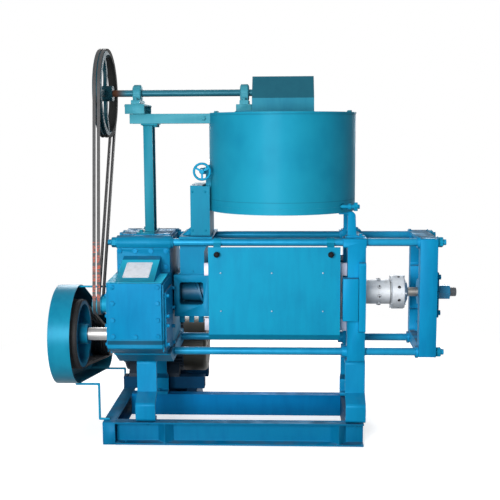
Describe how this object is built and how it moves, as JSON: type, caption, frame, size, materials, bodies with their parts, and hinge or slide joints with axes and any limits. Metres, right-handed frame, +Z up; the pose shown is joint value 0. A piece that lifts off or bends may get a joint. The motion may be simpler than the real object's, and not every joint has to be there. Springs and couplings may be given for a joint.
{
  "type": "screw oil press",
  "caption": "Screw oil press: a geared worm squeezes oil from seed in a slotted cage, fed by a belt-driven stirred kettle above, on a channel-steel base.",
  "frame": {"origin": "on the floor, in the middle of the four foundation holes of the base", "axes": "+Z up, +X along the press line from the gear case to the thrust yoke, the operator side with the guard panel at -Y"},
  "size_m": [2.071, 1.178, 2.0339],
  "materials": {
    "blue_enamel": "glossy enamel",
    "dark_motor": "satin paint",
    "bare_steel": "turned",
    "cage_steel": "ground",
    "choke_steel": "silver paint",
    "gear_steel": "machined",
    "cast_iron": "as cast",
    "belt_rubber": "matt"
  },
  "bodies": {
    "frame": {"base_cross_members": "blue_enamel", "base_front_channel": "blue_enamel", "base_left_rail": "blue_enamel", "base_rear_channel": "blue_enamel", "belt_guard": "blue_enamel", "cage_bars": "gear_steel", "cage_front_half": "cage_steel", "cage_rear_half": "cage_steel", "drive_beam": "blue_enamel", "drive_post": "blue_enamel", "end_yoke": "blue_enamel", "feed_hopper": "blue_enamel", "feed_housing": "blue_enamel", "feed_table": "blue_enamel", "frame_bolts": "blue_enamel", "gate_guides": "blue_enamel", "gear_bearings": "bare_steel", "gear_hood": "blue_enamel", "gearbox_covers": "blue_enamel", "gearbox_front_case": "blue_enamel", "gearbox_housing": "blue_enamel", "gearbox_legs": "blue_enamel", "guard_brackets": "blue_enamel", "head_legs": "blue_enamel", "kettle_belts": "belt_rubber", "kettle_bridge": "blue_enamel", "kettle_pan": "blue_enamel", "kettle_posts": "blue_enamel", "kettle_shell": "blue_enamel", "motor_belts": "belt_rubber", "motor_body": "dark_motor", "motor_cross_bars": "cast_iron", "motor_end_shields": "dark_motor", "motor_fan_cover": "dark_motor", "press_head": "blue_enamel", "shaft_bearings": "blue_enamel", "steam_inlet": "blue_enamel", "stirrer_bearing": "bare_steel", "thrust_housing": "blue_enamel", "tie_rod_nuts": "blue_enamel", "tie_rods": "blue_enamel", "upper_chute": "blue_enamel"},
    "worm": {"worm_shaft": "bare_steel", "worm_sections": "bare_steel", "bull_gear": "gear_steel"},
    "choke_cone": {"choke_cone": "choke_steel"},
    "choke_ring": {"choke_ring": "choke_steel"},
    "input": {"input_shaft": "bare_steel", "input_pulley": "cast_iron"},
    "layshaft": {"layshaft": "bare_steel", "layshaft_gear": "gear_steel", "layshaft_pulley": "cast_iron"},
    "kettle_drive": {"drive_shaft": "bare_steel", "top_pulley": "cast_iron"},
    "stirrer": {"stirrer": "bare_steel", "bevel_gear": "gear_steel"},
    "motor_rotor": {"motor_rotor": "cast_iron"},
    "gate": {"discharge_gate": "bare_steel"},
    "handwheel": {"handwheel": "blue_enamel"},
    "guard_panel": {"guard_panel": "blue_enamel"}
  },
  "joints": [
    {"name": "worm_spin", "type": "hinge", "parent": "frame", "child": "worm", "pos_m": [0, 0, 0.758], "axis": [1, 0, 0], "continuous": true},
    {"name": "layshaft_spin", "type": "hinge", "parent": "frame", "child": "layshaft", "pos_m": [-0.43, -0.31987, 0.749], "axis": [1, 0, 0], "continuous": true},
    {"name": "input_spin", "type": "hinge", "parent": "frame", "child": "input", "pos_m": [-0.6, -0.20047, 0.569], "axis": [1, 0, 0], "continuous": true},
    {"name": "motor_spin", "type": "hinge", "parent": "frame", "child": "motor_rotor", "pos_m": [-0.5, 0.5, 0.35], "axis": [1, 0, 0], "continuous": true},
    {"name": "kettle_drive_spin", "type": "hinge", "parent": "frame", "child": "kettle_drive", "pos_m": [-0.2, 0, 1.804], "axis": [1, 0, 0], "continuous": true},
    {"name": "stirrer_spin", "type": "hinge", "parent": "frame", "child": "stirrer", "pos_m": [0.255, 0, 1.5], "axis": [0, 0, 1], "continuous": true},
    {"name": "choke_turn", "type": "hinge", "parent": "worm", "child": "choke_ring", "pos_m": [0.87, 0, 0.758], "axis": [1, 0, 0], "range_deg": [0, 720]},
    {"name": "choke_slide", "type": "slide", "parent": "worm", "child": "choke_cone", "axis": [-1, 0, 0], "range_m": [0, 0.008]},
    {"name": "handwheel_turn", "type": "hinge", "parent": "frame", "child": "handwheel", "pos_m": [-0.15, -0.06, 1.405], "axis": [0, -1, 0], "range_deg": [0, 382]},
    {"name": "gate_slide", "type": "slide", "parent": "frame", "child": "gate", "axis": [0, 0, 1], "range_m": [0, 0.1001]},
    {"name": "panel_swing", "type": "hinge", "parent": "frame", "child": "guard_panel", "pos_m": [0.2145, -0.165, 1.043], "axis": [-1, 0, 0], "range_deg": [0, 90]}
  ],
  "couplings": [
    {"joint": "layshaft_spin", "follows": "worm_spin", "ratio": -3.9231},
    {"joint": "input_spin", "follows": "worm_spin", "ratio": 12.373},
    {"joint": "motor_spin", "follows": "worm_spin", "ratio": 29.282},
    {"joint": "kettle_drive_spin", "follows": "worm_spin", "ratio": -0.86221},
    {"joint": "stirrer_spin", "follows": "worm_spin", "ratio": 0.2874},
    {"joint": "choke_slide", "follows": "choke_turn", "m_per_rad": 0.00063662},
    {"joint": "gate_slide", "follows": "handwheel_turn", "m_per_rad": 0.015}
  ]
}
